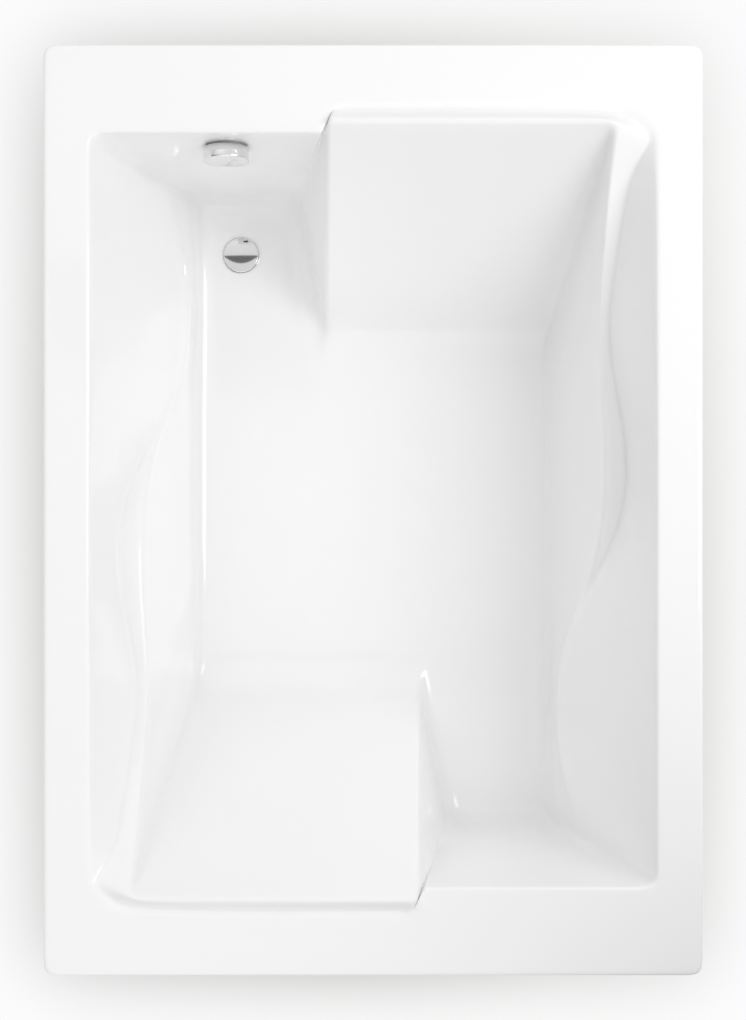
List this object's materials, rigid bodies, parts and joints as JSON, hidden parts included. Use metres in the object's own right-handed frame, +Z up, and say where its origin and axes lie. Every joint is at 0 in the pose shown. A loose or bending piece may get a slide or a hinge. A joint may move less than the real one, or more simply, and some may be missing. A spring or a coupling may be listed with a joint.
{
  "type": "bathtub",
  "caption": "Rectangular drop-in acrylic bath with opposed backrests side by side, waved armrests, a turn-knob overflow and waste, and levelling feet on steel rails.",
  "frame": {"origin": "on the floor under the middle of the rim", "axes": "+Z up, +Y along the bath towards the end with the overflow, +X across it to the right"},
  "size_m": [1.08, 1.524, 0.5942],
  "materials": {
    "white_acrylic": "polished, glossy",
    "plywood": "sanded, unpainted",
    "pine": "planed, unpainted",
    "galvanised_steel": "galvanised, satin",
    "zinc_steel": "zinc plated",
    "chrome": "polished",
    "brass": "turned",
    "grey_plastic": "moulded, satin",
    "black_plastic": "moulded, matt",
    "black_rubber": "matt",
    "black_sheath": "smooth sheath"
  },
  "bodies": {
    "root": {"acrylic_shell": "white_acrylic", "base_board": "plywood", "board_screws": "zinc_steel", "control_cable": "black_sheath", "cradle_rail_left": "galvanised_steel", "cradle_rail_right": "galvanised_steel", "end_batten_far": "pine", "end_batten_near": "pine", "lever_pin": "zinc_steel", "long_batten_left": "pine", "long_batten_right": "pine", "overflow_elbow": "grey_plastic", "overflow_face": "grey_plastic", "overflow_pipe": "grey_plastic", "overflow_seal": "black_rubber", "rail_nuts": "zinc_steel", "waste_body": "grey_plastic", "waste_flange": "chrome", "waste_seal": "black_rubber"},
    "knob": {"overflow_knob": "chrome", "knob_spindle": "brass", "cable_crank": "brass"},
    "plug": {"waste_plug": "chrome", "plug_seal": "black_rubber"},
    "lever": {"plug_lever": "brass"},
    "foot_1": {"foot_screw_1": "zinc_steel", "foot_pad_1": "black_plastic"},
    "foot_2": {"foot_screw_2": "zinc_steel", "foot_pad_2": "black_plastic"},
    "foot_3": {"foot_screw_3": "zinc_steel", "foot_pad_3": "black_plastic"},
    "foot_4": {"foot_screw_4": "zinc_steel", "foot_pad_4": "black_plastic"}
  },
  "joints": [
    {"name": "knob_turn", "type": "hinge", "parent": "root", "child": "knob", "pos_m": [-0.246, 0.61007, 0.5], "axis": [0, -0.9963, 0.0863], "range_deg": [0, 90]},
    {"name": "plug_lift", "type": "slide", "parent": "root", "child": "plug", "axis": [0, 0, 1], "range_m": [0, 0.01]},
    {"name": "lever_swing", "type": "hinge", "parent": "root", "child": "lever", "pos_m": [-0.246, 0.493, 0.084], "axis": [-1, 0, 0], "range_deg": [0, 32.26]},
    {"name": "foot_adjust_1", "type": "slide", "parent": "root", "child": "foot_1", "axis": [0, 0, -1], "range_m": [-0.008, 0.012]},
    {"name": "foot_adjust_2", "type": "slide", "parent": "root", "child": "foot_2", "axis": [0, 0, -1], "range_m": [-0.008, 0.012]},
    {"name": "foot_adjust_3", "type": "slide", "parent": "root", "child": "foot_3", "axis": [0, 0, -1], "range_m": [-0.008, 0.012]},
    {"name": "foot_adjust_4", "type": "slide", "parent": "root", "child": "foot_4", "axis": [0, 0, -1], "range_m": [-0.008, 0.012]}
  ],
  "couplings": [
    {"joint": "plug_lift", "follows": "knob_turn", "m_per_rad": 0.006366},
    {"joint": "lever_swing", "follows": "knob_turn", "ratio": 0.35835}
  ]
}
